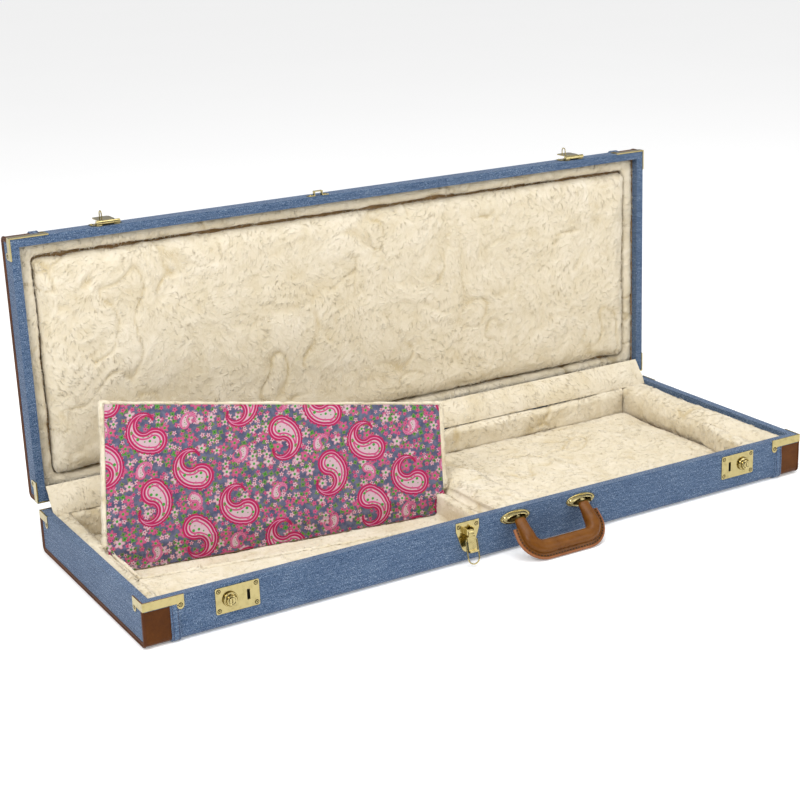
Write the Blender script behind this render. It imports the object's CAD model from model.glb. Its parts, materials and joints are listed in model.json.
"""The looks of a hard guitar case standing open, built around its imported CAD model.

Denim over wood, brown leather ends, brass hardware, a plush lining and a printed pocket lid.
Metres, +Z up, in the frame of the CAD. Pieces of the lid and of the pocket lid are made as if
the case were shut, and then turned open about their hinge.
"""

import json
import math
from itertools import product

import bmesh
import bpy
import numpy as np
from mathutils import Matrix, Vector


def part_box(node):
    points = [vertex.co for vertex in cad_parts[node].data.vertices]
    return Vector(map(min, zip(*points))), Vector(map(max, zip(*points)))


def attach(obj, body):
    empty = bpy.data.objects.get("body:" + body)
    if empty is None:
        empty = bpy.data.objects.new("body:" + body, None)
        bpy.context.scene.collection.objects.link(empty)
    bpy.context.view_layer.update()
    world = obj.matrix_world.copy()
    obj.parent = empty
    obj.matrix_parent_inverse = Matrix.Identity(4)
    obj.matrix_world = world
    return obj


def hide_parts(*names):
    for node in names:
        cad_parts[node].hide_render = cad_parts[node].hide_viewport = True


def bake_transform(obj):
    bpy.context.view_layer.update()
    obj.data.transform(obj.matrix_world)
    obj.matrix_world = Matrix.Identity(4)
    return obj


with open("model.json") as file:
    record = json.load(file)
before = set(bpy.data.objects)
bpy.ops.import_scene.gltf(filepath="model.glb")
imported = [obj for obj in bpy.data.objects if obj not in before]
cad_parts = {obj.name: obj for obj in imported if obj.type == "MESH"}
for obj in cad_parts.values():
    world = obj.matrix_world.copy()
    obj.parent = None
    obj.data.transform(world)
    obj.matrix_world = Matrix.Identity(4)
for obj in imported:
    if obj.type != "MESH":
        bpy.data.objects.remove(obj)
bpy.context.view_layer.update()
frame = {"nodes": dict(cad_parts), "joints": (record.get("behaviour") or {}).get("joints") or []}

NODES = frame["nodes"]
JOINTS = {joint["name"]: joint for joint in frame["joints"]}


def turn(joint, degrees):
    """The matrix that turns things about a joint's axis."""
    spot = Matrix.Translation(Vector(JOINTS[joint]["pos_m"]))
    spin = Matrix.Rotation(math.radians(degrees), 4, Vector(JOINTS[joint]["axis"]))
    return spot @ spin @ spot.inverted()


LID_OPEN = turn("lid_hinge", -JOINTS["lid_hinge"]["range_deg"][1])
POCKET_OPEN = turn("pocket_lid_hinge", -JOINTS["pocket_lid_hinge"]["range_deg"][1])
AS_BUILT = Matrix.Identity(4)
OPENED = {"base": AS_BUILT, "lid": LID_OPEN, "pocket_lid": POCKET_OPEN}


def shut_box(node, opened):
    """A CAD node's corners as they would be with its body turned shut."""
    back = opened.inverted()
    spots = np.array([back @ vertex.co for vertex in NODES[node].data.vertices])
    return Vector(spots.min(0)), Vector(spots.max(0))


# The case, shut
BASE_LOW, BASE_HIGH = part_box("base_cover")
LID_LOW, LID_HIGH = shut_box("lid_cover", LID_OPEN)
END = BASE_HIGH.x
WALL = BASE_HIGH.y
TALL = {"base": BASE_HIGH.z - BASE_LOW.z, "lid": LID_HIGH.z - LID_LOW.z}
LEATHER_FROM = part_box("base_leather_right")[0].x
EDGE_RADIUS = 0.008
RIM = 0.0121
GUARD_DEEP = 0.0105
GUARD_TAB = 0.0188

# Denim binding beside the leather, and the leather round each end face
BAND_WIDE = 0.0118
BAND_THICK = 0.0019
STITCH_INSET = 0.0024
STITCH_PITCH = 0.0036
WELT_WIDE = 0.0062
WELT_BEAD = 0.0015

# Handle
HANDLE_PIVOT = Vector(JOINTS["handle_hinge"]["pos_m"])
HANDLE_REST = math.radians(-44.5)
HANDLE_EYE = 0.0543
HANDLE_DROP = 0.0503
HANDLE_RADIUS = 0.0105
GRIP_INWARD = 0.0012  # the grip sits this far inside its seam
HANDLE_CORNER = 0.0205

# Plush
SOFT_VOXEL = 0.0062
THIN_VOXEL = 0.0034
SWELL_FRAMES = 20
TUFT_LONG = 0.0085
TUFT_SUNK = 0.0003

FLOOR_Z = -1.2 * BAND_THICK  # the case lies on its bindings


# Camera, light and floor


def set_camera():
    """The view from the left of the handle side, a little above."""
    azimuth, elevation, roll = math.radians(-30.05), math.radians(17.90), math.radians(-1.92)
    flat = math.cos(elevation)
    back = Vector((math.sin(azimuth) * flat, -math.cos(azimuth) * flat, math.sin(elevation)))
    right = Vector((0, 0, 1)).cross(back).normalized()
    up = back.cross(right)
    tilted_right = right * math.cos(roll) + up * math.sin(roll)
    tilted_up = up * math.cos(roll) - right * math.sin(roll)
    camera = bpy.data.cameras.new("camera")
    camera.lens = 74.17
    camera.sensor_width = 36.0
    camera.clip_start = 0.05
    made = bpy.data.objects.new("camera", camera)
    bpy.context.scene.collection.objects.link(made)
    turned = Matrix((tilted_right, tilted_up, back)).transposed().to_4x4()
    made.matrix_world = Matrix.Translation((-1.1570, -1.9052, 0.8884)) @ turned
    bpy.context.scene.camera = made


def area_light(name, spot, target, size, power, colour=(1, 1, 1)):
    light = bpy.data.lights.new(name, "AREA")
    light.shape = "RECTANGLE"
    light.size, light.size_y = size
    light.energy = power
    light.color = colour
    made = bpy.data.objects.new(name, light)
    made.location = spot
    made.rotation_euler = (Vector(target) - Vector(spot)).to_track_quat("-Z", "Y").to_euler()
    bpy.context.scene.collection.objects.link(made)


def studio_world():
    """Soft light from above, dimmer near the horizon; white where the camera looks past the floor."""
    world = bpy.data.worlds.new("studio")
    world.use_nodes = True
    tree = world.node_tree
    dome, output = tree.nodes["Background"], tree.nodes["World Output"]
    place = tree.nodes.new("ShaderNodeTexCoord")
    split = tree.nodes.new("ShaderNodeSeparateXYZ")
    ramp = tree.nodes.new("ShaderNodeValToRGB")
    white = tree.nodes.new("ShaderNodeBackground")
    seen = tree.nodes.new("ShaderNodeLightPath")
    both = tree.nodes.new("ShaderNodeMixShader")
    elements = ramp.color_ramp.elements
    elements.new(0.5)
    for element, (height, grey) in zip(elements, ((0.02, 0.16), (0.30, 0.62), (0.80, 0.80))):
        element.position = height
        element.color = (grey, grey, grey, 1)
    white.inputs["Color"].default_value = (1, 1, 1, 1)
    tree.links.new(place.outputs["Generated"], split.inputs[0])
    tree.links.new(split.outputs["Z"], ramp.inputs["Fac"])
    tree.links.new(ramp.outputs["Color"], dome.inputs["Color"])
    tree.links.new(seen.outputs["Is Camera Ray"], both.inputs[0])
    tree.links.new(dome.outputs[0], both.inputs[1])
    tree.links.new(white.outputs[0], both.inputs[2])
    tree.links.new(both.outputs[0], output.inputs["Surface"])
    return world


def set_studio():
    scene = bpy.context.scene
    scene.view_settings.view_transform = "Standard"
    scene.world = studio_world()
    area_light("key", (-2.4, -1.5, 2.3), (0, 0, 0.1), (1.4, 1.4), 56)
    area_light("top", (0.2, -0.6, 2.8), (0, 0.05, 0), (2.6, 1.2), 36)
    area_light("fill", (1.9, -2.6, 1.3), (0, 0, 0.2), (1.2, 1.8), 18)
    floor = flat_square("floor", 60.0, FLOOR_Z)


# Materials


def rgb(red, green, blue):
    """A display colour from 0 to 255 as linear light."""
    parts = [value / 255 for value in (red, green, blue)]
    return tuple(p / 12.92 if p <= 0.04045 else ((p + 0.055) / 1.055) ** 2.4 for p in parts)


class Look:
    """A material, and short calls that add nodes to it."""

    def __init__(self, name):
        self.material = bpy.data.materials.new(name)
        self.material.use_nodes = True
        self.tree = self.material.node_tree
        self.shader = self.tree.nodes["Principled BSDF"]

    def feed(self, socket, value):
        if isinstance(value, bpy.types.NodeSocket):
            self.tree.links.new(value, socket)
        elif isinstance(value, (tuple, Vector)) and socket.type == "RGBA":
            socket.default_value = (*value[:3], 1)
        else:
            socket.default_value = value

    def node(self, kind, inputs=None, **settings):
        made = self.tree.nodes.new(kind)
        for name, value in settings.items():
            setattr(made, name, value)
        for name, value in (inputs or {}).items():
            self.feed(made.inputs[name], value)
        return made

    def set(self, **values):
        for name, value in values.items():
            self.feed(self.shader.inputs[name.replace("_", " ").title()], value)

    def place(self, output="Object"):
        return self.node("ShaderNodeTexCoord").outputs[output]

    def math(self, operation, *values):
        made = self.node("ShaderNodeMath", operation=operation)
        for socket, value in zip(made.inputs, values):
            self.feed(socket, value)
        return made.outputs[0]

    def vector(self, operation, *values, output="Vector"):
        made = self.node("ShaderNodeVectorMath", operation=operation)
        for socket, value in zip(made.inputs, values):
            self.feed(socket, value)
        return made.outputs[output]

    def scaled(self, place, by):
        return self.vector("MULTIPLY", place, by)

    def axes(self, place):
        return self.node("ShaderNodeSeparateXYZ", {0: place}).outputs

    def joined(self, x, y, z=0.0):
        return self.node("ShaderNodeCombineXYZ", {0: x, 1: y, 2: z}).outputs[0]

    def noise(self, place, scale, detail=2.0, roughness=0.5, distortion=0.0):
        inputs = {"Vector": place, "Scale": scale, "Detail": detail}
        inputs.update({"Roughness": roughness, "Distortion": distortion})
        return self.node("ShaderNodeTexNoise", inputs).outputs["Fac"]

    def between(self, value, low, high):
        """0 below low, 1 above high, smooth in between."""
        made = self.node("ShaderNodeMapRange", {0: value, 1: low, 2: high}, interpolation_type="SMOOTHSTEP")
        return made.outputs[0]

    def mix(self, share, first, second, blend="MIX"):
        made = self.node("ShaderNodeMix", data_type="RGBA", blend_type=blend)
        self.feed(made.inputs[0], share)
        self.feed(made.inputs[6], first)
        self.feed(made.inputs[7], second)
        return made.outputs[2]

    def ramp(self, value, *stops):
        """Colours along a value; a stop is (position, colour)."""
        made = self.node("ShaderNodeValToRGB", {"Fac": value})
        elements = made.color_ramp.elements
        while len(elements) < len(stops):
            elements.new(0.5)
        for element, (position, colour) in zip(elements, stops):
            element.position = position
            element.color = (*colour, 1)
        return made.outputs["Color"]

    def bump(self, height, distance, strength=1.0, normal=None):
        inputs = {"Height": height, "Distance": distance, "Strength": strength}
        if normal is not None:
            inputs["Normal"] = normal
        return self.node("ShaderNodeBump", inputs).outputs["Normal"]

    def total(self, start, *parts):
        """start plus each (value - 0.5) times its weight."""
        for value, weight in parts:
            start = self.math("MULTIPLY_ADD", self.math("SUBTRACT", value, 0.5), weight, start)
        return start


def denim(name="denim", lightness=0.0):
    """Washed denim: a blue warp over a pale weft, in a diagonal twill."""
    look = Look(name)
    x, y, z = look.axes(look.place())
    nx, ny, nz = [look.math("ABSOLUTE", part) for part in look.axes(look.place("Normal"))]
    on_end = look.math("GREATER_THAN", nx, 0.7)
    upright = look.math("GREATER_THAN", ny, nz)
    along = look.node("ShaderNodeMix", {0: on_end, 2: x, 3: y}).outputs[0]
    flat = look.node("ShaderNodeMix", {0: upright, 2: y, 3: z}).outputs[0]
    across = look.node("ShaderNodeMix", {0: on_end, 2: flat, 3: z}).outputs[0]
    cloth = look.joined(along, across)
    waver = look.math("MULTIPLY", look.noise(cloth, 160.0, 1.0), 0.0012)
    diagonal = look.math("ADD", look.math("ADD", along, across), waver)
    twill = look.math("SINE", look.math("MULTIPLY", diagonal, math.tau / 0.00125))
    twill = look.math("MULTIPLY_ADD", twill, 0.5, 0.5)
    warp = look.noise(look.scaled(cloth, (1500.0, 260.0, 1.0)), 1.0, 3.0, 0.6)
    weft = look.noise(look.scaled(cloth, (170.0, 1300.0, 1.0)), 1.0, 3.0, 0.6)
    speck = look.noise(cloth, 760.0, 3.0, 0.7)
    slub = look.noise(look.scaled(cloth, (26.0, 420.0, 1.0)), 1.0, 2.0, 0.6)
    fade = look.noise(cloth, 11.0, 3.0, 0.55)
    shade = look.total(
        0.45 + lightness, (speck, 2.3), (warp, 1.2), (weft, 1.3), (slub, 0.55), (fade, 0.22), (twill, 0.12)
    )
    colour = look.ramp(
        shade,
        (0.0, rgb(23, 40, 69)),
        (0.30, rgb(53, 77, 110)),
        (0.62, rgb(86, 109, 138)),
        (1.0, rgb(158, 172, 187)),
    )
    rough = look.node("ShaderNodeMapRange", {0: shade, 3: 0.95, 4: 0.78}).outputs[0]
    height = look.total(0.5, (twill, 0.6), (speck, 0.9), (slub, 0.5))
    look.set(base_color=colour, roughness=rough, normal=look.bump(height, 0.00035, 0.9))
    look.shader.inputs["Sheen Weight"].default_value = 0.12
    look.shader.inputs["Specular IOR Level"].default_value = 0.25
    return look.material


def leather(name, dark, light, rough=0.42, worn=0.2, gloss=0.04):
    """Smooth finished hide: fine cells, soft colour drift and a little wear."""
    look = Look(name)
    place = look.place()
    cells = look.node("ShaderNodeTexVoronoi", {"Vector": place, "Scale": 1500.0}).outputs["Distance"]
    wide_cells = look.node("ShaderNodeTexVoronoi", {"Vector": place, "Scale": 620.0}).outputs["Distance"]
    drift = look.noise(place, 24.0, 4.0, 0.6)
    crease = look.noise(place, 190.0, 4.0, 0.65, 0.6)
    shade = look.total(0.42, (drift, 0.9), (crease, 0.45), (cells, 0.12))
    colour = look.mix(look.between(shade, 0.1, 0.95), dark, light)
    scuff = look.between(look.noise(place, 70.0, 5.0, 0.7), 0.60, 0.78)
    colour = look.mix(look.math("MULTIPLY", scuff, worn), colour, tuple(min(1.0, c * 1.9) for c in light))
    sheen = look.total(rough, (crease, 0.16), (drift, 0.12), (scuff, 0.10))
    height = look.total(0.5, (cells, 0.5), (wide_cells, 0.45), (crease, 0.7))
    look.set(base_color=colour, roughness=sheen, normal=look.bump(height, 0.00022, 0.8))
    look.shader.inputs["Specular IOR Level"].default_value = 0.10
    look.shader.inputs["Coat Weight"].default_value = gloss
    look.shader.inputs["Coat Roughness"].default_value = 0.3
    return look.material


def metal(name, bright, dull, rough, edge=0.0003):
    """Plated sheet: fine brushing, faint smears, small dents and rounded edges."""
    look = Look(name)
    place = look.place()
    brushed = look.noise(look.scaled(place, (60.0, 60.0, 2600.0)), 1.0, 3.0, 0.6)
    smear = look.noise(place, 75.0, 4.0, 0.6, 0.4)
    pits = look.noise(place, 900.0, 3.0, 0.6)
    tarnish = look.between(look.noise(place, 130.0, 5.0, 0.7), 0.42, 0.78)
    colour = look.mix(look.math("MULTIPLY", tarnish, 0.55), bright, dull)
    shine = look.total(rough, (smear, 0.14), (brushed, 0.08), (tarnish, 0.10))
    rounded = look.node("ShaderNodeBevel", {"Radius": edge}, samples=4).outputs[0]
    height = look.total(0.5, (brushed, 0.25), (pits, 0.30), (smear, 0.8))
    look.set(base_color=colour, roughness=shine, normal=look.bump(height, 0.00006, 0.7, rounded))
    look.shader.inputs["Metallic"].default_value = 1.0
    return look.material


def plush(name="plush"):
    """Crushed cream pile: tan in its valleys, pale on its tips, streaked the way it lies."""
    look = Look(name)
    place = look.place()
    swirl = look.node("ShaderNodeTexNoise", {"Vector": place, "Scale": 21.0, "Detail": 2.0}).outputs["Color"]
    swirl = look.vector("MULTIPLY", look.vector("SUBTRACT", swirl, (0.5, 0.5, 0.5)), (0.050, 0.050, 0.050))
    lying = look.vector("ADD", place, swirl)
    strands = look.noise(look.scaled(lying, (520.0, 150.0, 150.0)), 1.0, 3.0, 0.65, 0.8)
    fluff = look.noise(lying, 230.0, 4.0, 0.65, 1.2)
    locks = look.noise(lying, 55.0, 3.0, 0.6, 1.6)
    patches = look.noise(place, 15.0, 3.0, 0.6, 0.5)
    pile = look.node("ShaderNodeAttribute", attribute_name="pile").outputs["Fac"]
    shade = look.total(pile, (strands, 0.30), (fluff, 0.22), (locks, 0.26), (patches, 0.50))
    colour = look.ramp(
        shade,
        (0.0, rgb(166, 146, 104)),
        (0.25, rgb(194, 177, 141)),
        (0.50, rgb(212, 200, 174)),
        (0.85, rgb(228, 219, 201)),
    )
    height = look.total(0.5, (strands, 0.7), (fluff, 0.9), (locks, 1.1))
    roughness = look.total(0.92, (fluff, -0.1))
    look.set(base_color=colour, roughness=roughness, normal=look.bump(height, 0.0009, 0.5))
    look.shader.inputs["Sheen Weight"].default_value = 0.22
    look.shader.inputs["Sheen Roughness"].default_value = 0.5
    look.shader.inputs["Specular IOR Level"].default_value = 0.15
    return look.material


def thread(name, colour):
    """Twisted sewing thread."""
    look = Look(name)
    place = look.place()
    twist = look.noise(place, 2600.0, 2.0)
    dark, light = (tuple(c * share for c in colour) for share in (0.6, 1.2))
    tint = look.mix(look.noise(place, 300.0, 3.0), dark, light)
    look.set(base_color=tint, roughness=look.total(0.75, (twist, 0.2)), normal=look.bump(twist, 0.0001))
    return look.material


def wood(name="birch_ply"):
    """Bare ply: long grain with darker pores."""
    look = Look(name)
    grain = look.noise(look.scaled(look.place(), (9.0, 160.0, 160.0)), 1.0, 5.0, 0.6, 0.8)
    pores = look.noise(look.scaled(look.place(), (60.0, 1400.0, 1400.0)), 1.0, 3.0, 0.6)
    shade = look.total(0.5, (grain, 0.9), (pores, 0.4))
    colour = look.ramp(shade, (0.1, rgb(140, 98, 58)), (0.55, rgb(196, 158, 108)), (0.95, rgb(222, 192, 146)))
    look.set(base_color=colour, roughness=look.total(0.62, (pores, 0.2)), normal=look.bump(pores, 0.0001))
    return look.material


def pale_floor():
    look = Look("pale_floor")
    cloudy = look.noise(look.place(), 1.5, 3.0)
    look.set(base_color=look.mix(cloudy, (0.88, 0.88, 0.88), (0.90, 0.90, 0.90)), roughness=0.95)
    look.shader.inputs["Specular IOR Level"].default_value = 0.0
    look.shader.inputs["Emission Color"].default_value = (1, 1, 1, 1)
    look.shader.inputs["Emission Strength"].default_value = 0.22
    return look.material


# Printed cloth. Its coordinates are the UV map, in metres.

MAGENTA = rgb(170, 34, 84)
PINK = rgb(184, 90, 126)
PALE = rgb(198, 168, 176)
GREEN = rgb(66, 146, 60)
CURL_TAIL, CURL_HEAD = -2.75, 1.75
CURL_RADIUS = (0.26, 0.60)
CURL_WIDTH = (0.035, 0.400)


def curl(look, spot, angle, size):
    """Distance from a curled drop's edge, negative inside, and the share of the way from tail to head."""
    inputs = {"Vector": spot, "Axis": (0, 0, 1), "Angle": angle}
    local = look.node("ShaderNodeVectorRotate", inputs).outputs[0]
    local = look.vector("MULTIPLY", local, (1 / size, 1 / size, 0))
    x, y, _ = look.axes(local)
    bearing = look.math("ARCTAN2", y, x)
    radius = look.vector("LENGTH", local, output="Value")
    share = look.node("ShaderNodeMapRange", {0: bearing, 1: CURL_TAIL, 2: CURL_HEAD}).outputs[0]
    middle = look.math("MULTIPLY_ADD", share, CURL_RADIUS[1] - CURL_RADIUS[0], CURL_RADIUS[0])
    grown = look.math("POWER", share, 1.7)
    half = look.math("MULTIPLY_ADD", grown, CURL_WIDTH[1] - CURL_WIDTH[0], CURL_WIDTH[0])
    arm = look.math("SUBTRACT", look.math("ABSOLUTE", look.math("SUBTRACT", radius, middle)), half)
    ends = []
    for bearing_at, reach, wide in zip((CURL_TAIL, CURL_HEAD), CURL_RADIUS, CURL_WIDTH):
        centre = (reach * math.cos(bearing_at), reach * math.sin(bearing_at), 0)
        ends.append(look.math("SUBTRACT", look.vector("DISTANCE", local, centre, output="Value"), wide))
    head = look.math("MINIMUM", ends[0], ends[1])
    past = look.math("GREATER_THAN", bearing, CURL_HEAD)
    before = look.math("LESS_THAN", bearing, CURL_TAIL)
    outside = look.math("MAXIMUM", past, before)
    away = look.math("MINIMUM", look.math("MULTIPLY_ADD", outside, 10.0, arm), head)
    return away, share, local


def inside(look, away, depth, soft=0.012):
    """1 where a shape is deeper than this, 0 elsewhere."""
    return look.between(look.math("MULTIPLY", away, -1.0), depth - soft, depth + soft)


def drop_print(look, ground, away, share, local, big):
    """A curled drop: a scalloped border, a pale line, and a field of small flowers."""
    ticks = look.math("SINE", look.math("MULTIPLY", share, 150.0 if big else 90.0))
    rose, deep_rose = (MAGENTA, rgb(138, 18, 62)) if big else (PINK, MAGENTA)
    border = look.mix(look.between(ticks, 0.1, 0.9), rose, deep_rose)
    fringe = look.math("MULTIPLY_ADD", ticks, 0.016, away)
    colour = look.mix(inside(look, fringe, -0.010), ground, border)
    colour = look.mix(inside(look, away, 0.050), colour, rgb(206, 140, 170))
    colour = look.mix(inside(look, away, 0.072), colour, rose)
    colour = look.mix(inside(look, away, 0.140), colour, PALE if big else rgb(206, 120, 158))
    colour = look.mix(inside(look, away, 0.185), colour, rgb(188, 60, 114) if big else PALE)
    colour = look.mix(inside(look, away, 0.235), colour, PALE)
    field = look.node("ShaderNodeTexVoronoi", {"Vector": local, "Scale": 6.4, "Randomness": 0.55})
    near = field.outputs["Distance"]
    petals = look.between(near, 0.40, 0.33)
    tint = look.axes(field.outputs["Color"])[0]
    bloom = look.mix(look.math("GREATER_THAN", tint, 0.62), GREEN, PINK)
    deep = inside(look, away, 0.150)
    colour = look.mix(look.math("MULTIPLY", petals, deep), colour, bloom)
    heart = look.between(near, 0.16, 0.11)
    return look.mix(look.math("MULTIPLY", heart, deep), colour, MAGENTA)


def blossoms(look, ground, cloth, pitch, petals, colours, heart, shift):
    """Small flowers, one to a random cell."""
    moved = look.vector("ADD", cloth, shift)
    inputs = {"Vector": moved, "Scale": 1 / pitch, "Randomness": 0.85}
    cells = look.node("ShaderNodeTexVoronoi", inputs, voronoi_dimensions="2D")
    offset = look.vector("SUBTRACT", look.scaled(moved, (1 / pitch, 1 / pitch, 0)), look.scaled(
        cells.outputs["Position"], (1 / pitch, 1 / pitch, 0)))
    x, y, _ = look.axes(offset)
    random, size, _ = look.axes(cells.outputs["Color"])
    bearing = look.math("ADD", look.math("ARCTAN2", y, x), look.math("MULTIPLY", random, 6.0))
    wave = look.math("COSINE", look.math("MULTIPLY", bearing, float(petals)))
    edge = look.math("MULTIPLY_ADD", wave, 0.085, look.math("MULTIPLY_ADD", size, 0.14, 0.20))
    near = cells.outputs["Distance"]
    bloom = look.between(look.math("SUBTRACT", edge, near), -0.02, 0.03)
    tint = look.mix(look.math("GREATER_THAN", random, 0.5), *colours)
    rim = look.between(look.math("SUBTRACT", edge, near), 0.10, 0.06)
    tint = look.mix(look.math("MULTIPLY", rim, 0.45), tint, MAGENTA)
    colour = look.mix(bloom, ground, tint)
    return look.mix(look.between(near, 0.115, 0.080), colour, heart)


def lattice(look, cloth, pitch, shift):
    """The spot within a repeating cell, and 0 or 1 in turn from cell to cell."""
    moved = look.vector("ADD", cloth, shift)
    cells = look.vector("DIVIDE", moved, pitch)
    whole = look.vector("FLOOR", cells)
    centre = look.vector("ADD", whole, (0.5, 0.5, 0))
    local = look.vector("MULTIPLY", look.vector("SUBTRACT", cells, centre), pitch)
    column, row, _ = look.axes(whole)
    odd = look.math("FLOORED_MODULO", look.math("MULTIPLY_ADD", row, 1.0, column), 2.0)
    return local, odd


def paisley(name="paisley"):
    """Cotton printed with curled drops and small flowers on slate."""
    look = Look(name)
    cloth = look.place("UV")
    weave = look.noise(look.scaled(cloth, (1700.0, 1700.0, 1.0)), 1.0, 2.0)
    worn = look.noise(cloth, 90.0, 4.0, 0.65)
    ground = look.mix(look.between(worn, 0.35, 0.7), rgb(74, 78, 102), rgb(106, 108, 130))
    leaves = (rgb(80, 134, 72), GREEN)
    colour = blossoms(look, ground, cloth, 0.0115, 4, leaves, rgb(50, 98, 46), (0.013, 0.007, 0))
    colour = blossoms(look, colour, cloth, 0.0100, 5, (PALE, PINK), MAGENTA, (0.0, 0.0, 0))
    colour = blossoms(look, colour, cloth, 0.0190, 5, (PINK, PALE), GREEN, (0.031, 0.044, 0))
    pitch = (0.124, 0.116, 1.0)
    for size, shift, start, step in (
        (0.0430, (0.0, 0.012, 0), 0.5, 2.4),
        (0.0430, (0.062, 0.070, 0), 2.9, 3.6),
        (0.0175, (0.062, 0.014, 0), 4.4, 2.0),
        (0.0175, (0.0, 0.072, 0), 1.2, 3.1),
    ):
        local, odd = lattice(look, cloth, pitch, shift)
        angle = look.math("MULTIPLY_ADD", odd, step, start)
        colour = drop_print(look, colour, *curl(look, local, angle, size), size > 0.02)
    colour = look.mix(look.math("MULTIPLY", weave, 0.22), colour, rgb(60, 60, 80), "MULTIPLY")
    height = look.total(0.5, (weave, 0.6), (worn, 0.5))
    roughness = look.total(0.86, (weave, 0.1))
    look.set(base_color=colour, roughness=roughness, normal=look.bump(height, 0.0002, 0.6))
    look.shader.inputs["Specular IOR Level"].default_value = 0.2
    return look.material


# Meshes


def piece(name, spots, faces, look, sharp=40):
    mesh = bpy.data.meshes.new(name)
    mesh.from_pydata([tuple(spot) for spot in spots], [], faces)
    mesh.materials.append(look)
    bm = bmesh.new()
    bm.from_mesh(mesh)
    bmesh.ops.recalc_face_normals(bm, faces=bm.faces)
    bm.to_mesh(mesh)
    bm.free()
    mesh.shade_smooth()
    mesh.set_sharp_from_angle(angle=math.radians(sharp))
    made = bpy.data.objects.new(name, mesh)
    bpy.context.scene.collection.objects.link(made)
    return made


def flat_square(name, size, z):
    half = size / 2
    corners = [(-half, -half, z), (half, -half, z), (half, half, z), (-half, half, z)]
    return piece(name, corners, [(0, 1, 2, 3)], pale_floor())


def baked(obj):
    """Applies an object's modifiers."""
    bpy.context.view_layer.update()
    graph = bpy.context.evaluated_depsgraph_get()
    mesh = bpy.data.meshes.new_from_object(obj.evaluated_get(graph))
    obj.modifiers.clear()
    obj.data = mesh
    return obj


def settle(obj, body):
    """Turns a piece that was made shut to its resting place, and lets it ride."""
    obj.data.transform(OPENED.get(body, AS_BUILT))
    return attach(obj, body)


def sweep(name, stations, outlines, look, closed=False, sharp=40):
    """A skin over outlines. A station is (centre, across, up), and an outline's (a, b) are in that plane."""
    spots = []
    for (centre, across, up), outline in zip(stations, outlines):
        spots += [centre + across * a + up * b for a, b in outline]
    count, rings = len(outlines[0]), len(stations)
    faces = []
    for ring in range(rings if closed else rings - 1):
        after = (ring + 1) % rings
        for k in range(count):
            m = (k + 1) % count
            faces.append((ring * count + k, ring * count + m, after * count + m, after * count + k))
    if not closed:
        faces.append(tuple(range(count))[::-1])
        faces.append(tuple(range((rings - 1) * count, rings * count)))
    return piece(name, spots, faces, look, sharp)


def lathe(name, profile, spot, towards, look, steps=36, sharp=35):
    """A profile of (radius, height) turned about a line; it starts and ends on the line."""
    turned = Vector(towards).to_track_quat("Z", "Y").to_matrix()
    spots, faces = [], []
    inner = profile[1:-1]
    for step in range(steps):
        angle = math.tau * step / steps
        for radius, tall in inner:
            spots.append((radius * math.cos(angle), radius * math.sin(angle), tall))
    count = len(inner)
    bottom, top = len(spots), len(spots) + 1
    spots += [(0, 0, profile[0][1]), (0, 0, profile[-1][1])]
    for step in range(steps):
        here, after = step * count, (step + 1) % steps * count
        faces.append((bottom, after, here))
        faces.append((top, here + count - 1, after + count - 1))
        for k in range(count - 1):
            faces.append((here + k, after + k, after + k + 1, here + k + 1))
    spots = [Vector(spot) + turned @ Vector(at) for at in spots]
    return piece(name, spots, faces, look, sharp)


def copies(name, template, places, look, sharp=40):
    """One piece made of a template, (spots, faces), at each place, a matrix."""
    shape, faces = template
    shape = np.hstack([np.array(shape, float), np.ones((len(shape), 1))])
    spots = np.vstack([shape @ np.array(place).T for place in places])[:, :3]
    count = len(shape)
    every = [tuple(k + count * i for k in face) for i in range(len(places)) for face in faces]
    return piece(name, spots, every, look, sharp)


def stood(spot, along, up):
    """A matrix whose X runs along and whose Z is up."""
    along = Vector(along).normalized()
    up = (Vector(up) - along * along.dot(Vector(up))).normalized()
    turned = Matrix((along, up.cross(along), up)).transposed().to_4x4()
    return Matrix.Translation(Vector(spot)) @ turned


def stitch_shape(long=0.0024, radius=0.00036):
    """A short plump stitch along X that dips at both ends."""
    spots, faces = [], []
    rings = ((-0.5, 0.35, -0.8), (-0.36, 0.9, 0.0), (0.0, 1.1, 0.5), (0.36, 0.9, 0.0), (0.5, 0.35, -0.8))
    sides = 6
    for x, wide, lift in rings:
        for k in range(sides):
            angle = math.tau * k / sides
            across = radius * wide * math.cos(angle)
            spots.append((x * long, across, radius * (wide * math.sin(angle) + lift)))
    for ring in range(len(rings) - 1):
        for k in range(sides):
            m = (k + 1) % sides
            a, b = ring * sides, (ring + 1) * sides
            faces.append((a + k, b + k, b + m, a + m))
    faces.append(tuple(range(sides)))
    faces.append(tuple(range((len(rings) - 1) * sides, len(rings) * sides))[::-1])
    return spots, faces


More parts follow.
